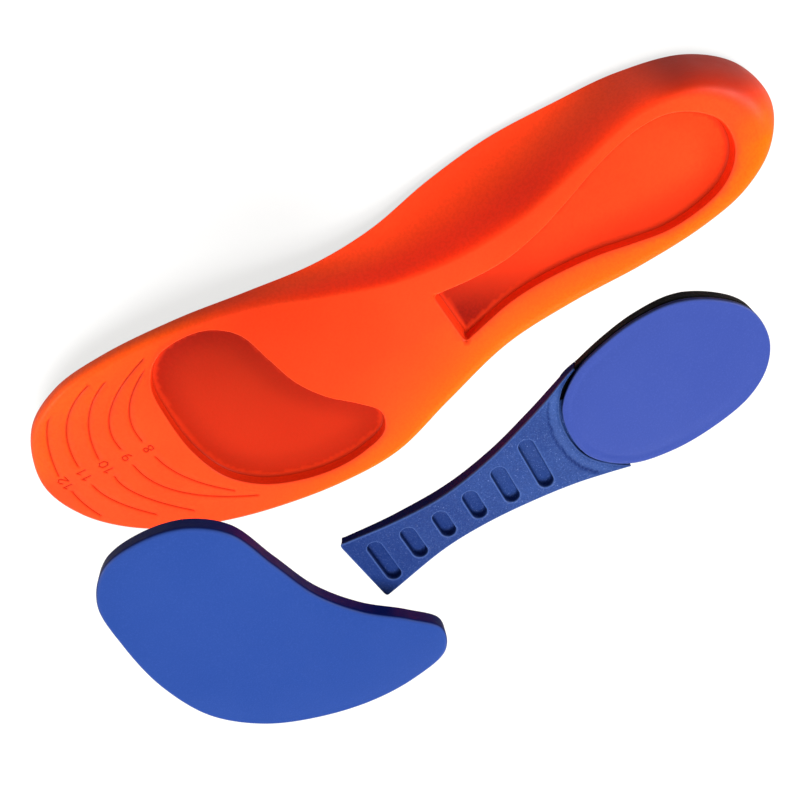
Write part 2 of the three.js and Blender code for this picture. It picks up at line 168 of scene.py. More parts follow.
# the oval shares the insert's edge round the heel
OVAL = [
    [3.1, -83], [11.7, -84.6], [18.7, -91.1], [22.3, -99.4], *HEEL_FLANKS[7:16],
    [-14.2, -93.3], [-6.5, -85.1],
]
OVAL_CENTRE = np.array([4.1, -109.5])
TRIM_LINES = [
    [[[37.5, 122], [28, 133.5], [10.5, 142]], [[1, 142.5], [-6, 142.3], [-13.5, 140.5]]],
    [[[38.5, 107], [28.5, 124], [11, 132.5]], [[0, 133.5], [-11, 130.5], [-24, 121]]],
    [[[36.5, 101], [26.5, 115.5], [10, 123.5]], [[-0.5, 123.5], [-13, 120.5], [-30, 107]]],
    [[[37.5, 83.5], [25.5, 106.5], [9.5, 113.5]], [[0.5, 114], [-19, 106.5], [-37, 81.5]]],
    [[[36.5, 78.5], [24.5, 98.5], [8.5, 104.5]], [[-0.5, 104.5], [-15, 100], [-30, 88]]],
]
# size numbers in the breaks of the trim lines: text, middle x, middle y
SIZE_NUMBERS = [("12", 6, 142.2), ("11", 6, 133.2), ("10", 5, 123.6), ("9", 5, 113.8), ("8", 4.2, 104.6)]
DIGIT_WIDTH = 2.3
DIGIT_HEIGHT = 3.9
DIGIT_STEP = 3.3
# strokes of each digit in a box from 0,0 to 1,1
DIGIT_STROKES = {
    "0": [[(0.5, 1), (0.05, 0.8), (0, 0.5), (0.05, 0.2), (0.5, 0), (0.95, 0.2), (1, 0.5), (0.95, 0.8),
           (0.5, 1)]],
    "1": [[(0.2, 0.78), (0.6, 1), (0.6, 0)]],
    "2": [[(0.02, 0.75), (0.2, 0.96), (0.6, 1), (0.95, 0.78), (0.85, 0.5), (0, 0), (1, 0)]],
    "8": [[(0.5, 0.53), (0.12, 0.68), (0.15, 0.9), (0.5, 1), (0.85, 0.9), (0.88, 0.68), (0.5, 0.53),
           (0.03, 0.33), (0.1, 0.08), (0.5, 0), (0.9, 0.08), (0.97, 0.33), (0.5, 0.53)]],
    "9": [[(0.93, 0.62), (0.6, 0.45), (0.15, 0.52), (0.02, 0.75), (0.2, 0.95), (0.55, 1), (0.9, 0.88),
           (0.97, 0.6), (0.8, 0.2), (0.4, 0)]],
}

# ---- mesh densities ----
BODY_SEGMENTS = 448
OUTLINE_SEGMENTS = 320
FINE_SEGMENTS = 2800
WALL_STEPS = 34
FOOT_STEPS = 22
FLOOR_SHARES = [0.85, 0.7, 0.55, 0.4, 0.25, 0.1]
BACKING_SEGMENTS = 560
PLATE_SEGMENTS = 760
# grid pitches, mm
FLAT_PITCH = 2.2
POCKET_PITCH = 1.5
FORE_PITCH = 1.6
OVAL_PITCH = 0.75
PLATE_PITCH = 0.62
UNDER_PITCH = 4
DIGIT_PITCH = 0.17
DIGIT_REACH = 0.75
TRIM_ROWS = (-0.75, -0.45, -0.2, 0.0, 0.2, 0.45, 0.75)


# ---- curves ----
def lerp(a, b, t):
    return a + (b - a) * t


def smooth(t):
    t = np.clip(t, 0, 1)
    return t * t * (3 - 2 * t)


def bell(d, centre, width):
    return np.exp(-(((d - centre) / width) ** 2))


def catmull(points, t, closed=True):
    """Centripetal Catmull-Rom curve through points at t, an array of shares of its length in points."""
    points = np.asarray(points, float)
    count = len(points)
    spans = count if closed else count - 1
    at = np.asarray(t, float) * spans
    i = np.minimum(np.floor(at).astype(int), spans - 1)
    w = (at - i)[:, None]
    if closed:
        p0, p1, p2, p3 = (points[(i + k) % count] for k in (-1, 0, 1, 2))
    else:
        ends = np.vstack([2 * points[0] - points[1], points, 2 * points[-1] - points[-2]])
        p0, p1, p2, p3 = (ends[i + k] for k in (0, 1, 2, 3))

    def gap(a, b):
        return np.maximum(np.linalg.norm(b - a, axis=1), 1e-9)[:, None] ** 0.5

    d0, d1, d2 = gap(p0, p1), gap(p1, p2), gap(p2, p3)
    m1 = ((p1 - p0) / d0 - (p2 - p0) / (d0 + d1) + (p2 - p1) / d1) * d1
    m2 = ((p2 - p1) / d1 - (p3 - p1) / (d1 + d2) + (p3 - p2) / d2) * d1
    return p1 + m1 * w + (-3 * p1 + 3 * p2 - 2 * m1 - m2) * w**2 + (2 * p1 - 2 * p2 + m1 + m2) * w**3


def even(line, count, closed=True):
    """count points spaced evenly along a dense polyline."""
    line = np.asarray(line, float)
    if closed:
        line = np.vstack([line, line[:1]])
    along = np.concatenate([[0], np.cumsum(np.linalg.norm(np.diff(line, axis=0), axis=1))])
    at = np.linspace(0, along[-1], count, endpoint=not closed)
    return np.stack([np.interp(at, along, line[:, k]) for k in range(line.shape[1])], 1)


def area(loop):
    x, y = loop[:, 0], loop[:, 1]
    return 0.5 * np.sum(x * np.roll(y, -1) - np.roll(x, -1) * y)


def anticlockwise(loop):
    return loop if area(loop) > 0 else loop[::-1].copy()


def normals(loop):
    """Outward unit normals of an anticlockwise loop."""
    d = np.roll(loop, -1, 0) - np.roll(loop, 1, 0)
    n = np.stack([d[:, 1], -d[:, 0]], 1)
    return n / np.maximum(np.linalg.norm(n, axis=1), 1e-9)[:, None]


def offset(loop, distance):
    """The loop moved outwards by distance, one value or one for each point, and kept smooth."""
    steps = max(1, int(np.max(np.abs(distance)) / 0.6 + 0.999))
    step = np.reshape(distance, (-1, 1)) / steps
    out = loop.copy()
    for _ in range(steps):
        out = out + normals(out) * step
        if steps > 1:
            out = 0.5 * out + 0.25 * (np.roll(out, 1, 0) + np.roll(out, -1, 0))
    return out


def smooth_outline(corners):
    dense = catmull(corners, np.arange(4000) / 4000)
    return anticlockwise(even(dense, OUTLINE_SEGMENTS))


def quadratic(a, b, c, count=24):
    t = np.linspace(0, 1, count)[:, None]
    return (1 - t) ** 2 * np.asarray(a) + 2 * (1 - t) * t * np.asarray(b) + t**2 * np.asarray(c)


def heel_outline():
    flanks = np.array(HEEL_FLANKS, float)
    start = lerp(HEEL_FRONT_LATERAL, HEEL_FRONT_MEDIAL, 0.1)
    end = lerp(HEEL_FRONT_MEDIAL, HEEL_FRONT_LATERAL, 0.1)
    dense = np.vstack([
        catmull(flanks, np.linspace(0, 1, 2400), closed=False),
        quadratic(flanks[-1], HEEL_FRONT_LATERAL, start)[1:],
        quadratic(end, HEEL_FRONT_MEDIAL, flanks[0])[:-1],
    ])
    return anticlockwise(even(dense, OUTLINE_SEGMENTS))


def toe_spring(y):
    return TOE_SPRING * np.clip((y - SPRING_START) / SPRING_LENGTH, 0, 1) ** 2


def ease_between(t, b, c):
    s = 1 - t
    return 3 * s**2 * t * b + 3 * s * t**2 * c + t**3


# ---- distance fields ----
def distance_to(points, line, closed=True):
    """Distance from points (n, 2) to a polyline, worked out in blocks."""
    a = np.asarray(line, float)
    b = np.roll(a, -1, 0)
    if not closed:
        a, b = a[:-1], b[:-1]
    d = b - a
    length2 = np.maximum((d**2).sum(1), 1e-12)
    out = np.empty(len(points))
    for i in range(0, len(points), 2048):
        p = points[i : i + 2048, None, :]
        t = np.clip(((p - a) * d).sum(2) / length2, 0, 1)
        out[i : i + 2048] = np.sqrt((((a + t[..., None] * d) - p) ** 2).sum(2).min(1))
    return out


def inside(points, loop):
    """Whether each point is inside the loop."""
    x, y = points[:, 0], points[:, 1]
    result = np.zeros(len(points), bool)
    bx, by = loop[-1]
    for ax, ay in loop:
        crosses = (ay > y) != (by > y)
        if by != ay:
            result ^= crosses & (x < (bx - ax) * (y - ay) / (by - ay) + ax)
        bx, by = ax, ay
    return result


# ---- mesh making ----
class Skin:
    """Collects points, faces and colour marks for each point, and turns them into a Blender object."""

    MARKS = ("tone", "edge", "warm", "painted_valley_shade")  # painted shade, painted highlight on edges and lips, painted rim light, redder painted shade in the arch's hollow

    def __init__(self):
        self.points, self.faces, self.count = [], [], 0
        self.marks = {name: [] for name in self.MARKS}

    def add(self, points, marks=None):
        points = np.asarray(points, float)
        self.points.append(points)
        for name, values in self.marks.items():
            value = np.asarray((marks or {}).get(name, 0.0), float)
            values.append(np.broadcast_to(value, len(points)).copy())
        first = self.count
        self.count += len(points)
        return np.arange(first, self.count)

    def strip(self, upper, lower):
        """Quads between two closed anticlockwise rings of indices, facing out when upper is above lower."""
        for a, b, c, d in zip(upper, lower, np.roll(lower, -1), np.roll(upper, -1)):
            self.faces.append((int(a), int(b), int(c), int(d)))

    def rings(self, rings, marks=None, hollow=False):
        """Adds a stack of rings and the quads between them, and gives the index rings. The wall of a hollow
        faces its middle."""
        marks = marks or [None] * len(rings)
        ids = [self.add(ring, mark) for ring, mark in zip(rings, marks)]
        for upper, lower in zip(ids, ids[1:]):
            if hollow:
                self.strip(lower, upper)
            else:
                self.strip(upper, lower)
        return ids

    def fill(self, loops, extra, height, facing_up=True, marks=None):
        """Fills the area inside the first loop and outside the others. loops are (ids, xy) and extra are more
        points inside. height and marks give each new point its z and its marks."""
        xy = np.vstack([loop for _, loop in loops] + [extra])
        edges, start = [], 0
        for _, loop in loops:
            n = len(loop)
            edges += [(start + k, start + (k + 1) % n) for k in range(n)]
            start += n
        verts, _, faces, origin, _, _ = delaunay_2d_cdt(
            [Vector(p) for p in xy.tolist()], edges, [], 0, 1e-6
        )
        verts = np.array([(v[0], v[1]) for v in verts])
        fixed = np.concatenate([ids for ids, _ in loops])
        own = np.array([not any(o < len(fixed) for o in group) for group in origin])
        fresh = verts[own]
        new_ids = self.add(np.column_stack([fresh, height(fresh)]), marks(fresh) if marks else None)
        index = np.empty(len(verts), int)
        index[own] = new_ids
        for k, group in enumerate(origin):
            if not own[k]:
                index[k] = fixed[next(o for o in group if o < len(fixed))]
        tris = np.array([f for f in faces if len(f) == 3], int)
        middle = verts[tris].mean(1)
        keep = inside(middle, loops[0][1])
        for _, loop in loops[1:]:
            keep &= ~inside(middle, loop)
        tris = tris[keep]
        a, b, c = (verts[tris[:, k]] for k in range(3))
        ccw = ((b - a)[:, 0] * (c - a)[:, 1] - (b - a)[:, 1] * (c - a)[:, 0]) > 0
        flip = ccw != facing_up
        tris[flip] = tris[flip][:, ::-1]
        self.faces += [tuple(int(index[k]) for k in f) for f in tris]

    def build(self, name, body, material, stands_for, lift=None, ripple=None):
        """Makes the piece, in place of the CAD node that it stands for. lift is the insert's way out of its
        pocket, ripple the height and scale of its slow unevenness."""
        points = np.vstack(self.points)
        if ripple:
            points = points + ripples(points, *ripple)
        if lift is not None:
            points = points + lift
        mesh = bpy.data.meshes.new(name)
        mesh.from_pydata((points * MM).tolist(), [], self.faces)
        mesh.validate()
        for mark, values in self.marks.items():
            attribute = mesh.attributes.new(mark, "FLOAT", "POINT")
            attribute.data.foreach_set("value", np.concatenate(values).astype(np.float32))
        mesh.polygons.foreach_set("use_smooth", [True] * len(mesh.polygons))
        mesh.update()
        piece = bpy.data.objects.new(name, mesh)
        bpy.context.scene.collection.objects.link(piece)
        piece.data.materials.append(material)
        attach(piece, body)
        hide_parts(stands_for)


def ripples(points, height, scale):
    """Slow unevenness of a moulded soft surface, in mm."""
    z = [noise.noise(Vector(p) * scale) for p in points.tolist()]
    return np.column_stack([np.zeros((len(points), 2)), np.array(z) * height])


def grid_inside(loop, pitch, margin, holes=(), hole_margin=0.0):
    """Points of a staggered grid inside loop, clear of its edge and of the holes."""
    lo, hi = loop.min(0), loop.max(0)
    rows = np.arange(lo[1], hi[1], pitch * 0.87)
    points = []
    for k, y in enumerate(rows):
        x = np.arange(lo[0] + (k % 2) * pitch / 2, hi[0], pitch)
        points.append(np.column_stack([x, np.full(len(x), y)]))
    points = np.vstack(points)
    points = points[inside(points, loop)]
    points = points[distance_to(points, loop) > margin]
    for hole in holes:
        points = points[~inside(points, hole)]
        points = points[distance_to(points, hole) > hole_margin]
    return points


def thin(points, keep_from, distance):
    """Points that are farther than distance from every point of keep_from."""
    tree = KDTree(len(keep_from))
    for i, (x, y) in enumerate(keep_from.tolist()):
        tree.insert((x, y, 0), i)
    tree.balance()
    keep = [tree.find((x, y, 0))[2] > distance for x, y in points.tolist()]
    return points[np.array(keep, bool)]


# ---- foam body ----
places_at = np.arange(BODY_SEGMENTS)[::-1] / BODY_SEGMENTS
rim_line = catmull(STATIONS[:, :3], places_at)
flat_line = catmull(STATIONS[:, 3:6], places_at)
flare = np.clip(flat_line[:, 2], 0, 1)
flat_xy = flat_line[:, :2]
flat_out = normals(flat_xy)
rim_xy = rim_line[:, :2]
depth = -rim_line[:, 2]


def sole_ring(t):
    """Ring of the outer wall at t, from 0 at the flat sole to 1 at the rim."""
    across = ease_between(t, lerp(0.6, 0.26, flare), lerp(0.95, 0.3, flare))
    down = ease_between(t, 0, lerp(0.35, 0.95, flare)) * depth
    xy = lerp(flat_xy, rim_xy, across[:, None])
    return np.column_stack([xy, -down - toe_spring(xy[:, 1])])


def foot_ring(t, inset=0.0):
    """Ring of the foot side at t, from 0 at its floor to 1 at the rim."""
    wall = np.clip((depth - FORE_EDGE) / (FULL_WALL - FORE_EDGE), 0, 1)
    rim_inset = lerp(EDGE_WIDTH, lerp(RIM_WIDTH, FLANGE_WIDTH, flare), wall) + inset
    start = flat_xy - flat_out * (FLOOR_INSET + inset)
    end = rim_xy - flat_out * rim_inset[:, None]
    xy = lerp(start, end, t)
    rise = lerp(t**2, smooth(t**FLANGE_BELLY), flare)
    z = lerp(-FOAM_THICKNESS, -depth - FLANGE_DROP * flare, rise) - inset - toe_spring(xy[:, 1])
    return np.column_stack([xy, z])


def drawn_in(ring, share, z):
    """The ring drawn in to a share of its size, towards the body's middle line."""
    middle_y = np.clip(ring[:, 1], MIDDLE_HEEL_Y, MIDDLE_TOE_Y)
    y = lerp(middle_y, ring[:, 1], share)
    return np.column_stack([lerp(MIDDLE_X, ring[:, 0], share), y, z - toe_spring(y)])


def rounded_corner(before, corner_a, corner_b, after, steps=5):
    """Rings that round the two edges of a narrow band between rings corner_a and corner_b."""
    start = lerp(corner_a, before, 0.5)
    end = lerp(corner_b, after, 0.5)
    rings = []
    for t in np.linspace(0, 1, 2 * steps + 1):
        first = (1 - t) ** 3 * start + 3 * (1 - t) ** 2 * t * corner_a
        rings.append(first + 3 * (1 - t) * t**2 * corner_b + t**3 * end)
    return rings


def lifted_normal_draft(loop, lift, z):
    """Shift of a wall at height z, inwards where it faces the lift, so that an insert draws out freely."""
    lean = lift[:2] / lift[2]
    n = normals(loop)
    return n * (np.maximum(0, n @ lean) * np.minimum(z, 0))[:, None]


def pocket_rings(outline, lift):
    """Rings from a rounded lip on the sole down the wall to the floor: (xy, z, painted shade, painted edge
    highlight).
    """
    rings = []
    # each ring carries painted shade, light down the wall and deeper in the fillet, and a painted highlight on
    # the rounded lip
    for a in np.linspace(0, math.pi / 2, 6):
        out = POCKET_LIP * (1 - math.sin(a))
        z = -POCKET_LIP * (1 - math.cos(a))
        rings.append((offset(outline, out) if out > 1e-6 else outline, z, 0.3 * math.sin(a), math.sin(2 * a)))
    foot = -(POCKET_DEPTH - POCKET_FILLET)
    for z in np.linspace(-POCKET_LIP, foot, 8)[1:]:
        rings.append((outline + lifted_normal_draft(outline, lift, z), z, 0.08, 0))
    wall = rings[-1][0]
    for a in np.linspace(0, math.pi / 2, 7)[1:]:
        inward = POCKET_FILLET * (1 - math.cos(a))
        rings.append((offset(wall, -inward), foot - POCKET_FILLET * math.sin(a), 0.55, 0))
    return rings


# painted shade and painted edge highlight of each ring of a hollow
def hollow_marks(rings):
    return [{"tone": tone, "edge": edge} for _, _, tone, edge in rings]


def stroke_line(start, middle, end):
    """A trim line that runs through its three points."""
    control = 2 * np.array(middle, float) - (np.array(start, float) + np.array(end, float)) / 2
    return even(quadratic(start, control, end, 200), 70, closed=False)


def rim_light_share():
    """How much painted rim light each place round the body gets, a paler, yellower orange where strong light
    would catch the rim: the lateral side, the back of the heel and the medial edge of the toe."""
    y = flat_xy[:, 1]
    lateral = smooth((-flat_out[:, 0] - 0.1) / 0.5) * smooth((95 - y) / 70)
    heel = smooth((-flat_out[:, 1] - 0.1) / 0.6) * smooth((0.5 - flat_out[:, 0]) / 0.5)
    heel = heel * smooth((-100 - y) / 20)
    toe = smooth((flat_out[:, 0] - 0.1) / 0.4) * smooth((y - 40) / 40) * 0.45
    return np.clip(lateral + 0.6 * heel + toe, 0, 1)


fore_outline = smooth_outline(FORE_POCKET)
heel_pocket_outline = heel_outline()
insert_outline = offset(heel_pocket_outline, -INSERT_GAP)
oval_outline = offset(smooth_outline(OVAL), -INSERT_GAP)


def number_strokes():
    """Polylines of the size numbers' digits."""
    strokes = []
    for text, cx, cy in SIZE_NUMBERS:
        for k, digit in enumerate(text):
            x0 = cx + (k - (len(text) - 1) / 2) * DIGIT_STEP - DIGIT_WIDTH / 2
            for stroke in DIGIT_STROKES[digit]:
                strokes.append(np.array(stroke) * [DIGIT_WIDTH, DIGIT_HEIGHT] + [x0, cy - DIGIT_HEIGHT / 2])
    return strokes


def trim_points(trims, guard, flat_loop):
    """Rows of points along and beside the trim lines, so that the mesh can carry their grooves."""
    rows = []
    for line in trims:
        n = np.gradient(line, axis=0)
        n = np.stack([-n[:, 1], n[:, 0]], 1) / np.linalg.norm(n, axis=1)[:, None]
        for side in TRIM_ROWS:
            row = line + n * side
            keep = ~inside(row, guard) & inside(row, flat_loop)
            keep &= distance_to(row, flat_loop) > 0.5
            rows.append(row[keep])
    return rows


def digit_points(digits):
    """Fine grids of points round the digits' strokes."""
    grids = []
    for stroke in digits:
        lo, hi = stroke.min(0) - 0.8, stroke.max(0) + 0.8
        gx, gy = np.meshgrid(np.arange(lo[0], hi[0], DIGIT_PITCH), np.arange(lo[1], hi[1], DIGIT_PITCH))
        near = np.column_stack([gx.ravel(), gy.ravel()])
        grids.append(near[distance_to(near, stroke, closed=False) < DIGIT_REACH])
    return grids


def nearest(points, lines):
    """Distance from points to the nearest of some open lines, up to 9 mm."""
    d = np.full(len(points), 9.0)
    for line in lines:
        d = np.minimum(d, distance_to(points, line, closed=False))
    return d


def cap(skin, ids, ring, z, facing_up=False):
    """Closes the middle of a stack of rings at height z, bent by the toe spring."""
    skin.fill([(ids, ring[:, :2])], np.zeros((0, 2)), lambda p: z - toe_spring(p[:, 1]), facing_up)


# painted shade on the two pockets' floors
def fore_floor_shade(p, inner):
    medial = smooth((p[:, 0] - 5) / 35)
    return np.clip(0.7 + 0.12 * medial + 0.12 * (1 - smooth(distance_to(p, inner) / 12)), 0, 1)


def heel_floor_shade(p, _inner):
    front = smooth((p[:, 1] + 70) / 55)
    lateral = smooth((2 - p[:, 0]) / 16) * 0.45
    return np.clip(0.12 + 0.75 * front + lateral * (1 - 0.5 * front), 0, 1)


def foam_body(material):
    skin = Skin()
    trims = [stroke_line(*run) for line in TRIM_LINES for run in line]
    digits = number_strokes()

    # sole side: the wall, the rim and the foot side
    sole = [sole_ring(t) for t in np.linspace(0, 1, WALL_STEPS + 1)]
    foot = [foot_ring(t) for t in np.linspace(1, 0, FOOT_STEPS + 1)]
    rim = rounded_corner(sole[-2], sole[-1], foot[0], foot[1])
    floor = [drawn_in(foot[-1], share, -FOAM_THICKNESS) for share in FLOOR_SHARES]
    stack = sole[:-1] + rim + foot[1:] + floor
    lit = rim_light_share()
    wall = np.linspace(0, 1, WALL_STEPS + 1)[:-1]
    wall = np.concatenate([wall, np.ones(len(rim)), np.zeros(len(foot + floor) - 1)])
    heel_corner = smooth((flat_out[:, 0] - 0.2) / 0.5) * smooth((-112 - flat_xy[:, 1]) / 12)
    # painted light and shade on the sole side: painted rim light along the sunlit rim, redder painted shade in
    # the arch's hollow, and painted shade at the heel's rear medial wall
    ids = skin.rings(stack, [{
        "warm": lit * lerp(0.55, 1, smooth(t * 2.5)),
        "painted_valley_shade": flare * smooth(t * 5) * smooth((0.75 - t) * 2.5),
        "tone": 0.7 * heel_corner * smooth(t * 3),
    } for t in wall])
    cap(skin, ids[-1], stack[-1], -FOAM_THICKNESS)

    # pockets
    pockets = []
    for outline, lift, floor_shade_of in (
        (fore_outline, FORE_LIFT, fore_floor_shade),
        (heel_pocket_outline, HEEL_LIFT, heel_floor_shade),
    ):
        rings = pocket_rings(outline, lift)
        xyz = [np.column_stack([xy, z - toe_spring(xy[:, 1])]) for xy, z, _, _ in rings]
        pocket_ids = skin.rings(xyz, hollow_marks(rings), hollow=True)
        pockets.append((pocket_ids[0], xyz[0][:, :2]))
        inner = xyz[-1][:, :2]
        grid = grid_inside(inner, POCKET_PITCH, 0.8)
        skin.fill([(pocket_ids[-1], inner)], grid, lambda p: -POCKET_DEPTH - toe_spring(p[:, 1]),
                  marks=lambda p, inner=inner, floor_shade_of=floor_shade_of: {"tone": floor_shade_of(p, inner)})

    # the flat, with engraved trim lines and size numbers
    flat_loop = sole[0][:, :2]
    guard = offset(fore_outline, TRIM_CLEARANCE)
    fine = np.vstack(trim_points(trims, guard, flat_loop) + digit_points(digits))
    fine = fine[~inside(fine, pockets[0][1])]
    coarse = grid_inside(flat_loop, FLAT_PITCH, 1.0, [loop for _, loop in pockets], 1.0)
    coarse = thin(coarse, fine, 0.8)

    def trim_profile(p):
        """Share of a groove's depth at points, and the height of the low shoulders beside it."""
        d = nearest(p, trims)
        fade = smooth(distance_to(p, guard) / 1.5) * ~inside(p, guard)
        return bell(d, 0, GROOVE_HALF_WIDTH) * fade, 0.1 * bell(d, 0.82, 0.3) * fade

    def height(p):
        groove, shoulder = trim_profile(p)
        digit = bell(nearest(p, digits), 0, DIGIT_HALF_WIDTH)
        return -toe_spring(p[:, 1]) - GROOVE_DEPTH * groove + shoulder - GROOVE_DEPTH * digit

    # painted shade in the trim grooves and the digits, and painted rim light spreading onto the flat beside
    # the rim
    def marks(p):
        groove, _ = trim_profile(p)
        digit = bell(nearest(p, digits), 0, 0.34)
        closest = np.argmin(((p[:, None, :] - flat_loop[None]) ** 2).sum(2), 1)
        flat_rim_light = lit[closest] * np.exp(-distance_to(p, flat_loop) / 9) * 0.55
        return {"tone": np.maximum(0.75 * groove, 0.8 * digit), "warm": flat_rim_light}

    skin.fill([(ids[0], flat_loop)] + pockets, np.vstack([fine, coarse]), height, marks=marks)
    skin.build("foam_body_soft", "insole", material, "foam_body", ripple=(0.1, 0.03))


# ---- top cover on the foot side ----
def cover(material):
    skin = Skin()
    share = np.linspace(0, 1, FOOT_STEPS + 1)

    def side(inset):
        wall = [foot_ring(t, inset) for t in share]
        floor = [drawn_in(wall[0], s, -FOAM_THICKNESS - inset) for s in FLOOR_SHARES]
        return floor[::-1] + wall

    inner = side(GAP)
    outer = side(GAP + COVER_THICKNESS)[::-1]
    edge = rounded_corner(inner[-2], inner[-1], outer[0], outer[1], steps=3)
    stack = inner[:-1] + edge + outer[1:]
    ids = skin.rings(stack)
    cap(skin, ids[0], stack[0], -FOAM_THICKNESS - GAP, facing_up=True)
    cap(skin, ids[-1], stack[-1], -FOAM_THICKNESS - GAP - COVER_THICKNESS)
    skin.build("top_cover_textile", "insole", material, "top_cover", ripple=(0.1, 0.08))


# ---- inserts ----
def rounded_sides(outline, z_top, z_bottom, draft, top_radius, bottom_radius, wall_steps=7, room=1.0):
    """Rings of a soft slab from its top face, over a rounded edge, down the wall and under: (xy, z, painted
    edge highlight).
    draft gives the wall's shift at a height; room, below 1, lessens the rounding where the slab is narrow."""
    rings = []
    for a in np.linspace(0, math.pi / 2, 9):
        inset = top_radius * (1 - math.sin(a))
        z = z_top - top_radius * (1 - math.cos(a))
        rings.append((offset(outline, -inset * room) + draft(z), z, math.sin(2 * a)))
    top = z_top - top_radius
    bottom = z_bottom + bottom_radius
    for z in np.linspace(top, bottom, wall_steps)[1:]:
        rings.append((outline + draft(z), z, 0))
    wall = rings[-1][0]
    for a in np.linspace(0, math.pi / 2, 6)[1:]:
        inset = bottom_radius * (1 - math.cos(a))
        rings.append((offset(wall, -inset * room), bottom - bottom_radius * math.sin(a), 0))
    return rings


def side_marks(rings):
    """Marks for a slab's rings: a painted highlight on the rounded edge and painted shade on the walls."""
    start = rings[0][1]
    return [{"edge": edge, "tone": smooth((start - 0.25 - z) / 0.6)} for _, z, edge in rings]


def at_height(loop, z):
    return np.column_stack([loop, np.full(len(loop), z)])


def level(z):
    """The height function of a flat face."""
    return lambda p: np.full(len(p), z)


def underside(skin, ids, loop, height):
    skin.fill([(ids, loop)], grid_inside(loop, UNDER_PITCH, 2), height, facing_up=False)


def slab(skin, rings, top_height, pitch, bottom_z):
    """Adds a slab's rings, its top at the heights of top_height and its flat bottom."""
    ids = skin.rings([at_height(loop, z) for loop, z, _ in rings], side_marks(rings))
    first = rings[0][0]
    skin.fill([(ids[0], first)], grid_inside(first, pitch, pitch * 0.5), top_height)
    underside(skin, ids[-1], rings[-1][0], level(bottom_z))


def fore_pad(material):
    skin = Skin()
    outline = offset(fore_outline, -INSERT_GAP)

    def draft(z):
        return lifted_normal_draft(outline, FORE_LIFT, z)

    def crown(p):
        return INSERT_TOP + FORE_PAD_CROWN * (1 - np.exp(-distance_to(p, rings[0][0]) / 7))

    rings = rounded_sides(outline, INSERT_TOP, INSERT_BOTTOM, draft, FORE_PAD_EDGE, 0.6)

    slab(skin, rings, crown, FORE_PITCH, INSERT_BOTTOM)
    skin.build("forefoot_gel_pad_soft", "forefoot_insert", material, "forefoot_gel_pad", FORE_LIFT,
               ripple=(0.08, 0.03))


def oval_pad(material):
    skin = Skin()

    def draft(z):
        return lifted_normal_draft(oval_outline, HEEL_LIFT, z)

    def dome(p):
        """Height of the low dome, with a bead near its edge in front."""
        d = distance_to(p, rings[0][0])
        front = smooth((p[:, 1] + 112) / 20)
        bead = 0.16 * bell(d, 0.8, 0.45) - 0.08 * bell(d, 1.9, 0.5)
        share = np.clip(np.linalg.norm((p - OVAL_CENTRE) / OVAL_HALF_SIZE, axis=1), 0, 1)
        return INSERT_TOP + OVAL_DOME * (1 - share**2) * smooth(d / 5) + bead * front

    rings = rounded_sides(oval_outline, INSERT_TOP, PAD_BOTTOM, draft, OVAL_EDGE, 0.3, wall_steps=4)
    slab(skin, rings, dome, OVAL_PITCH, PAD_BOTTOM)
    skin.build("heel_gel_pad_soft", "heel_insert", material, "heel_gel_pad", HEEL_LIFT,
               ripple=(0.06, 0.035))


def tip_y(p):
    """y of the plate's tip on each point's side."""
    return np.where(p[:, 0] < NECK_CENTRE_X, LATERAL_TIP_Y, MEDIAL_TIP_Y)


def ahead_of_tips(p, shift=0.0):
    """Whether points lie ahead of the plate's two tips, which clasp the oval."""
    return p[:, 1] > tip_y(p) + shift


def run_of(loop, wanted):
    """The one run of wanted points of a loop, in order."""
    start = int(np.argmax(wanted & ~np.roll(wanted, 1)))
    return np.roll(loop, -start, 0)[: int(wanted.sum())]


def tip_slant(p):
    """How fully walls slant along the lift: fully at the insert's medial tip, so that none cross there."""
    near = 1 - smooth(np.abs(p[:, 1] - MEDIAL_TIP_Y) / TIP_SLANT_LENGTH)
    return (near * (p[:, 0] > NECK_CENTRE_X))[:, None]


def slant(z):
    """Shift along the heel insert's lift at height z."""
    return HEEL_LIFT[:2] / HEEL_LIFT[2] * np.reshape(z, (-1, 1))


def lobe_outline():
    """Edge of the black layer in plan: the insert's own outline behind the plate's tips, and just inside the
    plate's hollow in front."""
    insert = even(insert_outline, FINE_SEGMENTS)
    oval = even(offset(oval_outline, GAP - FRONT_GAP), FINE_SEGMENTS)
    behind = run_of(insert, ~ahead_of_tips(insert, -TIP_GAP))
    front = run_of(oval, ahead_of_tips(oval, -TIP_GAP))
    return even(np.vstack([behind, front]), BACKING_SEGMENTS)


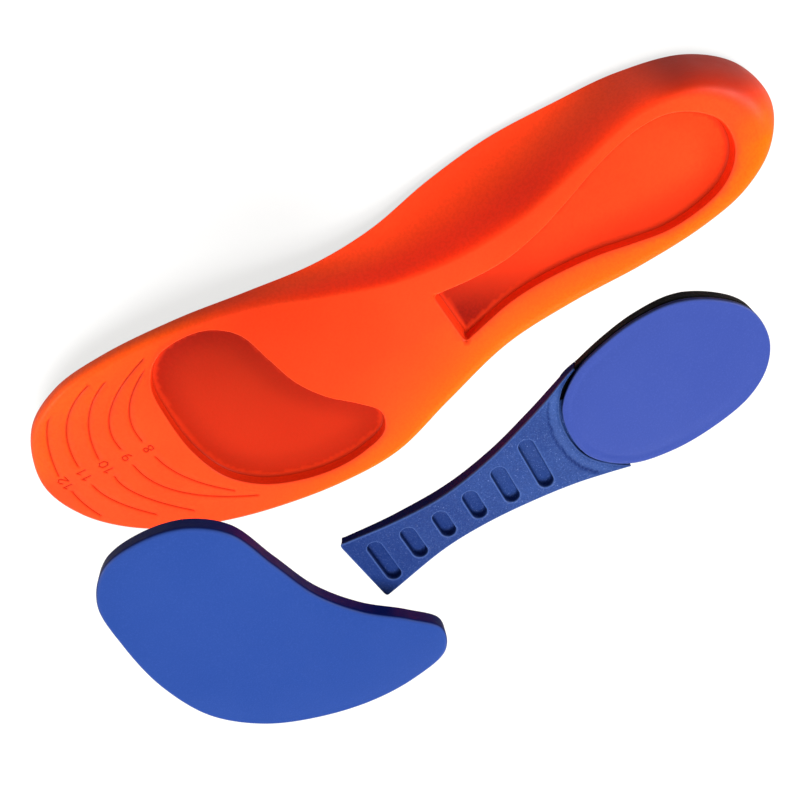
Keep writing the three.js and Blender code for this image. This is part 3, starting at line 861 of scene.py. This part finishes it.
def backing(material):
    """The black layer, with a recess in its top for the plate's tongue and neck."""
    skin = Skin()
    edge = lobe_outline()
    corner = np.abs(edge[:, 1] - tip_y(edge) + TIP_GAP)
    room = np.clip(corner / 0.5, 0.05, 1)
    leans = np.where(edge[:, 0] > NECK_CENTRE_X, 1, room)
    leans = np.where(ahead_of_tips(edge, -TIP_GAP), 0, leans)[:, None]

    def draft(z):
        """The wall's lean, left out in front, where the plate lies against it."""
        return lerp(lifted_normal_draft(edge, HEEL_LIFT, z) * leans, slant(z), tip_slant(edge))

    rings = rounded_sides(edge, TONGUE_TOP, INSERT_BOTTOM, draft, BACKING_EDGE, 0.5, room=room)
    lip = offset(oval_outline, GAP - TONGUE_INSET)
    recess = offset(oval_outline, GAP - TONGUE_INSET - 0.25)
    recess_z = TONGUE_BOTTOM - GAP

    def in_neck(p):
        return (abs(p[:, 0] - NECK_CENTRE_X) < NECK_HALF_WIDTH + GAP) & (p[:, 1] > NECK_BACK_Y)

    def top(p):
        return np.where(inside(p, offset(recess, 0.1)) | in_neck(p), recess_z, TONGUE_TOP)

    stack = [at_height(loop, z) for loop, z, _ in rings]
    neck = in_neck(edge)
    for ring in stack:
        ring[neck, 2] = np.minimum(ring[neck, 2], recess_z)
    ids = skin.rings(stack)
    skin.fill([(ids[0], rings[0][0])], np.vstack([lip, recess, grid_inside(recess, 3, 1)]), top)
    underside(skin, ids[-1], rings[-1][0], level(INSERT_BOTTOM))
    skin.build("heel_backing_foam", "heel_insert", material, "heel_backing_layer", HEEL_LIFT,
               ripple=(0.08, 0.12))


def plate_outline():
    """Edge of the plate in plan: the insert's outline in front, the hollow round the oval behind. Also gives
    the plate's width at each place."""
    insert = even(insert_outline, FINE_SEGMENTS)
    around = even(offset(oval_outline, GAP), FINE_SEGMENTS)
    front = run_of(insert, ~inside(insert, around) & ahead_of_tips(insert))
    hollow = run_of(around, inside(around, insert_outline) & ahead_of_tips(around))
    loop = anticlockwise(even(np.vstack([front, hollow[::-1]]), PLATE_SEGMENTS))
    width = distance_to(loop, offset(oval_outline, GAP)) + distance_to(loop, insert_outline)
    return loop, width


def slot_loop(y, grow):
    """Edge of the round-ended slot across the plate at y, grown on all sides."""
    step = np.roll(insert_outline, -1, 0)
    crosses = (insert_outline[:, 1] - y) * (step[:, 1] - y) < 0
    a, b = insert_outline[crosses], step[crosses]
    xs = a[:, 0] + (b[:, 0] - a[:, 0]) * (y - a[:, 1]) / (b[:, 1] - a[:, 1])
    radius = SLOT_WIDTH / 2
    right = xs.max() - SLOT_MEDIAL_MARGIN - radius
    left = xs.min() + SLOT_LATERAL_MARGIN + radius
    r = radius + grow
    a = np.linspace(-math.pi / 2, math.pi / 2, 40)
    b = np.linspace(math.pi / 2, 1.5 * math.pi, 40)
    dense = np.vstack([
        np.column_stack([right + r * np.cos(a), y + r * np.sin(a)]),
        np.column_stack([left + r * np.cos(b), y + r * np.sin(b)]),
    ])
    return even(dense, 64)


# rings of a slot: a low bead and a rounded lip, the wall and a filleted floor: (grow, z, painted shade,
# painted edge highlight)
SLOT_PROFILE = [
    (0.5, 0, 0, 0), (0.36, 0.05, 0, 0.3), (0.22, 0.06, 0, 0.8), (0.1, 0, 0, 1), (0.02, -0.14, 0.1, 0.8),
    (0, -0.35, 0.3, 0.2), (-0.02, -0.9, 0.4, 0), (-0.02, -1.4, 0.4, 0), (-0.02, -1.8, 0.4, 0),
    (-0.12, -2.15, 0.3, 0), (-0.32, -2.33, 0.2, 0), (-0.6, -SLOT_DEPTH, 0.1, 0),
]


def slot(skin, y):
    """Adds the slot at y, and gives the indices and the outline of its edge."""
    loops = [slot_loop(y, grow) for grow, _, _, _ in SLOT_PROFILE]
    xyz = [at_height(loop, INSERT_TOP + z) for loop, (_, z, _, _) in zip(loops, SLOT_PROFILE)]
    ids = skin.rings(xyz, hollow_marks(SLOT_PROFILE), hollow=True)
    skin.fill([(ids[-1], loops[-1])], grid_inside(loops[-1], 0.8, 0.3), level(INSERT_TOP - SLOT_DEPTH))
    return ids[0], loops[0]


def tongue(skin):
    """Adds the thin tongue that runs back from the plate under the oval, with its neck."""
    round_part = offset(oval_outline, -TONGUE_INSET)
    left, right = NECK_CENTRE_X - NECK_HALF_WIDTH, NECK_CENTRE_X + NECK_HALF_WIDTH
    box = np.array([[left, NECK_BACK_Y], [right, NECK_BACK_Y], [right, NECK_FRONT_Y], [left, NECK_FRONT_Y]])
    steps = np.linspace(0, 1, 60, endpoint=False)[:, None]
    sides = np.vstack([lerp(box[k], box[(k + 1) % 4], steps) for k in range(4)])
    behind = run_of(round_part, ~inside(round_part, box))
    ahead = run_of(sides, ~inside(sides, round_part))
    loop = anticlockwise(np.vstack([behind, ahead]))
    inner = offset(loop, -0.2)
    rings = [(inner, TONGUE_TOP, 0), (loop, TONGUE_TOP - 0.2, 0),
             (loop, TONGUE_BOTTOM + 0.2, 0), (inner, TONGUE_BOTTOM, 0)]
    slab(skin, rings, level(TONGUE_TOP), 3, TONGUE_BOTTOM)


def plate(material):
    skin = Skin()
    outline, width = plate_outline()

    def thinning(p):
        """How far the underside rises where the plate thins towards its front edge."""
        return PLATE_THINNING * smooth((p[:, 1] + 52) / 34)

    def sinking(p):
        """How far the top comes down to the black layer at the medial tip."""
        near = smooth((MEDIAL_TIP_Y + TIP_SINK_LENGTH - p[:, 1]) / TIP_SINK_LENGTH)
        return PAD_THICKNESS * near * (p[:, 0] > NECK_CENTRE_X)

    def ledge(p, d):
        """Depth of the shallow step round the oval, which runs out towards the insert's edge."""
        step = smooth((LEDGE_WIDTH + 0.25 - d) / 0.5)
        return LEDGE_DEPTH * step * smooth(distance_to(p, insert_outline) / 2.5)

    def settled(z, p):
        """True height of a ring's points, from its height in a plate of even thickness."""
        share = np.clip((z - INSERT_BOTTOM) / (INSERT_TOP - INSERT_BOTTOM), 0, 1)
        step = ledge(p, distance_to(p, oval_outline)) + sinking(p)
        return z - step * share + thinning(p) * (1 - share)

    def draft(z):
        """The wall's lean, held back where the plate is too narrow for it."""
        height = settled(z, outline)
        shift = lifted_normal_draft(outline, HEEL_LIFT, height)
        length = np.maximum(np.linalg.norm(shift, axis=1), 1e-6)
        shift = shift * np.minimum(1, 0.8 * width / length)[:, None]
        return lerp(shift, slant(height), tip_slant(outline))

    def top(p):
        d = distance_to(p, oval_outline)
        bead = 0.2 * bell(d - LEDGE_WIDTH, 0.7, 0.4) + 0.2 * bell(d, 1.1, 0.5)
        return INSERT_TOP - ledge(p, d) - sinking(p) + bead * smooth(distance_to(p, insert_outline) / 2)

    def shade(p):
        """Marks of the top: painted shade in lines beside the step and the oval, and a paler band between,
        carried by the edge highlight mark.
        """
        d = distance_to(p, oval_outline)
        line = bell(d, LEDGE_WIDTH, 0.35) + bell(d, 0, 0.5)
        return {"tone": 0.6 * line, "edge": 0.35 * ((d > 0.5) & (d < LEDGE_WIDTH - 0.3))}

    room = np.clip(width / PLATE_FULL_WIDTH, 0.12, 1)
    rings = rounded_sides(outline, INSERT_TOP, INSERT_BOTTOM, draft, PLATE_EDGE, 0.4, room=room)
    stack = [np.column_stack([loop, settled(z, loop)]) for loop, z, _ in rings]
    ids = skin.rings(stack, side_marks(rings))
    holes = [slot(skin, SLOT_FIRST_Y - i * SLOT_PITCH) for i in range(SLOT_COUNT)]
    first = rings[0][0]
    extra = grid_inside(first, PLATE_PITCH, 0.3, [loop for _, loop in holes], 0.25)
    skin.fill([(ids[0], first)] + holes, extra, top, marks=shade)
    underside(skin, ids[-1], rings[-1][0], lambda p: INSERT_BOTTOM + thinning(p))
    tongue(skin)
    skin.build("arch_support_plate_grained", "heel_insert", material, "arch_support_plate", HEEL_LIFT)


# ---- materials ----
class Nodes:
    """A short way to write a node tree."""

    def __init__(self, name):
        self.material = bpy.data.materials.new(name)
        self.material.use_nodes = True
        self.tree = self.material.node_tree
        self.tree.nodes.clear()
        self.shader = self.new("BsdfPrincipled")
        self.new("OutputMaterial", self.shader.outputs[0])
        self.place = self.new("TexCoord").outputs["Object"]

    def link(self, value, socket):
        if hasattr(value, "is_output"):
            self.tree.links.new(value, socket)
        else:
            socket.default_value = value

    def put(self, name, value):
        self.link(value, self.shader.inputs[name])

    def new(self, kind, *values, **named):
        """A node with its first inputs set or linked in order, and others by name."""
        node = self.tree.nodes.new("ShaderNode" + kind)
        for key, value in [*enumerate(values), *named.items()]:
            self.link(value, node.inputs[key])
        return node

    def noise(self, scale, detail=3.0, roughness=0.55):
        node = self.new("TexNoise", Vector=self.place, Scale=scale, Detail=detail, Roughness=roughness)
        return node.outputs["Fac"]

    def voronoi(self, scale):
        return self.new("TexVoronoi", Vector=self.place, Scale=scale).outputs["Distance"]

    def multiply(self, a, b):
        node = self.new("Math", a, b)
        node.operation = "MULTIPLY"
        return node.outputs[0]

    def ramp(self, value, low, high, to_low=0.0, to_high=1.0):
        """value mapped from low..high to to_low..to_high, and held at the ends."""
        return self.new("MapRange", value, low, high, to_low, to_high).outputs[0]

    def mix(self, share, a, b):
        node = self.new("Mix", share)
        node.data_type = "RGBA"
        colour_a, colour_b, colour_out = 6, 7, 2  # sockets of the colour mix
        self.link(a, node.inputs[colour_a])
        self.link(b, node.inputs[colour_b])
        return node.outputs[colour_out]

    def attribute(self, name):
        node = self.new("Attribute")
        node.attribute_name = name
        return node.outputs["Fac"]

    def bump(self, *layers):
        """layers are (height, strength, distance in m); the first one is the broadest."""
        normal = None
        for height, strength, distance in layers:
            node = self.new("Bump", Height=height, Strength=strength, Distance=distance)
            if normal is not None:
                self.link(normal, node.inputs["Normal"])
            normal = node.outputs[0]
        self.put("Normal", normal)


def rgb(*display):
    """A display colour, 0 to 255, as the linear colour that Blender works in."""
    shares = [v / 255 for v in display]
    return (*(v / 12.92 if v <= 0.04045 else ((v + 0.055) / 1.055) ** 2.4 for v in shares), 1.0)


def foam_material():
    """Orange foam: the marks carry painted light and shade, a paler painted rim light, redder painted shade in
    the arch's hollow, painted shade in the pockets, grooves and walls, and a painted highlight on the pockets'
    lips.
    """
    m = Nodes("moulded_orange_foam")
    cloudy = m.noise(28, 3)
    speckle = m.noise(900, 2)
    fresh = m.mix(m.ramp(cloudy, 0.3, 0.7), rgb(240, 60, 21), rgb(244, 65, 24))
    # painted rim light: a paler, yellower orange where strong light catches the rim
    fresh = m.mix(m.attribute("warm"), fresh, rgb(246, 96, 0))
    # redder painted shade in the arch's hollow, for the shade and the light bounced there
    fresh = m.mix(m.attribute("painted_valley_shade"), fresh, rgb(252, 46, 14))
    # painted shade: pockets, grooves, digits and the heel's rear medial wall darker
    shaded = m.mix(m.attribute("tone"), fresh, rgb(128, 18, 6))
    grain = m.mix(m.ramp(speckle, 0.42, 0.62, 0.0, 0.16), shaded, rgb(190, 30, 9))
    # painted highlight on the rounded lips of the pockets
    edge_highlighted = m.mix(m.multiply(m.attribute("edge"), 0.25), grain, rgb(250, 92, 52))
    m.put("Base Color", edge_highlighted)
    m.put("Roughness", m.ramp(m.noise(160, 4), 0.3, 0.7, 0.36, 0.46))
    m.put("Specular IOR Level", m.ramp(m.attribute("warm"), 0.5, 1, 0.22, 0.04))
    m.bump((m.noise(650, 3), 0.25, 0.0002), (m.voronoi(1500), 0.2, 0.0001))
    return m.material


def gel_material(name, base, pale, shaded, roughness, grain=0.2):
    """Smooth gel skin with a fine speckle, a painted highlight on its rounded edge and painted shade on its
    walls.
    """
    m = Nodes(name)
    cloudy = m.noise(45, 3)
    clouds = tuple(lerp(a, b, 0.05) for a, b in zip(base, pale))
    colour = m.mix(m.ramp(cloudy, 0.3, 0.7), base, clouds)
    speckle = m.noise(2400, 2)
    colour = m.mix(m.ramp(speckle, 0.5, 0.72, 0.0, 0.12), colour, pale)
    # painted highlight on the rounded edge
    colour = m.mix(m.multiply(m.attribute("edge"), 0.15), colour, pale)
    # painted shade on the walls
    colour = m.mix(m.attribute("tone"), colour, shaded)
    m.put("Base Color", colour)
    m.put("Roughness", m.ramp(m.noise(220, 4), 0.3, 0.7, roughness - 0.05, roughness + 0.08))
    m.put("Specular IOR Level", m.ramp(m.attribute("tone"), 0, 1, 0.22, 0.06))
    m.bump((m.noise(900, 3), grain, 0.00012), (m.voronoi(1900), grain, 0.00008))
    return m.material


def plate_material():
    """Sandblasted plastic: grit and sparse bright dots, darker towards its front."""
    m = Nodes("sandblasted_blue_plate")
    cloudy = m.noise(60, 4)
    base = m.mix(m.ramp(cloudy, 0.3, 0.7), rgb(31, 54, 112), rgb(38, 64, 124))
    grit = m.noise(2300, 2, 0.7)
    base = m.mix(m.ramp(grit, 0.56, 0.72, 0.0, 0.4), base, rgb(84, 108, 168))
    base = m.mix(m.ramp(m.noise(3400, 1), 0.68, 0.74, 0.0, 0.6), base, rgb(130, 152, 205))
    base = m.mix(m.ramp(grit, 0.45, 0.3, 0.0, 0.45), base, rgb(16, 32, 84))
    along = m.new("SeparateXYZ", m.place).outputs["Y"]
    base = m.mix(m.ramp(along, -0.04, 0.025, 0.0, 0.5), base, rgb(14, 32, 92))
    # painted shade, deep navy, on the walls, the slots and the creases round the step
    base = m.mix(m.multiply(m.attribute("tone"), 0.92), base, rgb(0, 9, 68))
    # painted highlight on rounded edges, the slots' lips and the ledge band
    base = m.mix(m.multiply(m.attribute("edge"), 0.4), base, rgb(84, 112, 176))
    m.put("Base Color", base)
    m.put("Roughness", m.ramp(grit, 0.3, 0.7, 0.55, 0.36))
    m.put("Specular IOR Level", m.ramp(m.attribute("tone"), 0, 1, 0.35, 0.02))
    m.bump((m.voronoi(1700), 0.4, 0.00012), (grit, 0.5, 0.00014))
    return m.material


def backing_material():
    """Fine-celled black foam."""
    m = Nodes("black_cushion_foam")
    cells = m.voronoi(1500)
    base = m.mix(m.ramp(cells, 0.1, 0.6), rgb(2, 2, 5), rgb(7, 7, 12))
    base = m.mix(m.ramp(m.noise(120, 3), 0.4, 0.7, 0.0, 0.4), base, rgb(5, 6, 10))
    m.put("Base Color", base)
    m.put("Specular IOR Level", 0.08)
    m.put("Roughness", m.ramp(m.noise(300, 3), 0.3, 0.7, 0.5, 0.7))
    m.bump((m.noise(200, 3), 0.3, 0.0003), (cells, 0.5, 0.00025))
    return m.material


def textile_material():
    """Fine brushed knit: rows of small loops crossed by a finer rib."""
    m = Nodes("dark_knit_textile")

    def rows(direction, scale):
        node = m.new("TexWave", Vector=m.place, Scale=scale, Distortion=0.4, Detail=1.0)
        node.bands_direction = direction
        return node.outputs["Fac"]

    weave = m.multiply(rows("X", 420), rows("Y", 420))
    fibre = m.noise(2600, 3)
    base = m.mix(m.ramp(weave, 0.1, 0.7), rgb(22, 25, 30), rgb(62, 68, 80))
    base = m.mix(m.ramp(fibre, 0.5, 0.75, 0.0, 0.5), base, rgb(96, 102, 116))
    base = m.mix(m.ramp(m.noise(35, 3), 0.4, 0.7, 0.0, 0.3), base, rgb(36, 40, 50))
    m.put("Base Color", base)
    m.put("Roughness", 0.88)
    m.put("Sheen Weight", 0.4)
    m.put("Sheen Roughness", 0.5)
    m.bump((weave, 0.7, 0.0003), (fibre, 0.4, 0.0001))
    return m.material


def floor_material():
    """Pale floor that glows for the camera only, so that it looks white without lighting the object."""
    m = Nodes("pale_floor")
    dark, light = (0.21, 0.21, 0.21, 1), (0.23, 0.23, 0.23, 1)
    m.put("Base Color", m.mix(m.ramp(m.noise(6, 2), 0.3, 0.7), dark, light))
    m.put("Roughness", 0.9)
    m.put("Specular IOR Level", 0.1)
    m.put("Emission Color", (1, 1, 1, 1))
    seen = m.new("LightPath").outputs["Is Camera Ray"]
    m.put("Emission Strength", m.multiply(seen, 0.72))
    return m.material


foam_body(foam_material())
cover(textile_material())
fore_pad(gel_material("smooth_blue_gel", rgb(30, 59, 130), rgb(70, 96, 172), rgb(6, 18, 84), 0.42))
violet_blue = (rgb(47, 64, 136), rgb(84, 102, 176), rgb(14, 24, 84))
oval_pad(gel_material("smooth_violet_blue_gel", *violet_blue, 0.4, 0.15))
plate(plate_material())
backing(backing_material())

# ---- floor, light and camera ----
FLOOR_GAP = 0.0006
bpy.ops.mesh.primitive_plane_add(size=6, location=(0, 0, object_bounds()[0].z - FLOOR_GAP))
floor = bpy.context.object
floor.name = "floor"
floor.data.materials.append(floor_material())


def aimed_light(name, kind, energy, colour, direction):
    data = bpy.data.lights.new(name, kind)
    data.energy = energy
    data.color = colour
    light = bpy.data.objects.new(name, data)
    bpy.context.scene.collection.objects.link(light)
    light.rotation_mode = "QUATERNION"
    light.rotation_quaternion = direction.to_track_quat("-Z", "Y")
    return light


def area_light(name, place, target, size, power, colour):
    light = aimed_light(name, "AREA", power, colour, Vector(target) - Vector(place))
    light.data.shape = "RECTANGLE"
    light.data.size, light.data.size_y = size
    light.location = place


def sun(name, towards, strength, spread, colour=(1, 1, 1)):
    """Even light from the direction towards, softened over spread degrees, that leaves no gloss."""
    light = aimed_light(name, "SUN", strength, colour, -Vector(towards))
    light.data.angle = math.radians(spread)
    light.visible_glossy = False


sun("key", (-0.12, 0.06, 0.97), 4.5, 35)
sun("lateral", (-1.0, 0.05, 0.3), 3.2, 30, (1.0, 0.9, 0.62))
sun("toe_fill", (-0.2, 0.9, 0.4), 0.8, 60)
area_light("heel_strip", (0.05, -0.75, 0.35), (0.0, -0.12, 0), (0.5, 0.2), 3.5, (1.0, 0.93, 0.85))
area_light("toe_strip", (0.35, 0.7, 0.25), (0.0, 0.1, 0), (0.4, 0.2), 1.6, (1.0, 0.85, 0.6))

# the sky is white to the camera and a weak fill to the object
SKY_FILL = 0.13
world = bpy.data.worlds.new("studio")
bpy.context.scene.world = world
world.use_nodes = True
sky = world.node_tree
background = sky.nodes["Background"]
background.inputs[0].default_value = (1, 1, 1, 1)
seen = sky.nodes.new("ShaderNodeLightPath").outputs["Is Camera Ray"]
strength = sky.nodes.new("ShaderNodeMapRange")
strength.inputs["To Min"].default_value = SKY_FILL
sky.links.new(seen, strength.inputs["Value"])
sky.links.new(strength.outputs[0], background.inputs[1])

# camera at the photograph's viewing angle: its place and its three axes
CAMERA_PLACE = Vector((0.1736, -0.0458, 0.3229))
CAMERA_RIGHT = Vector((-0.460910, -0.877784, 0.130599))
CAMERA_UP = Vector((0.716565, -0.454925, -0.528750))
CAMERA_BACK = Vector((0.523541, -0.150123, 0.838671))
camera = bpy.data.objects.new("camera", bpy.data.cameras.new("camera"))
bpy.context.scene.collection.objects.link(camera)
turn = Matrix((CAMERA_RIGHT, CAMERA_UP, CAMERA_BACK)).transposed().to_4x4()
camera.matrix_world = Matrix.Translation(CAMERA_PLACE) @ turn
camera.data.sensor_width = 36
camera.data.lens = 45.05
camera.data.clip_start = 0.01
bpy.context.scene.camera = camera
bpy.context.scene.view_settings.view_transform = "Standard"
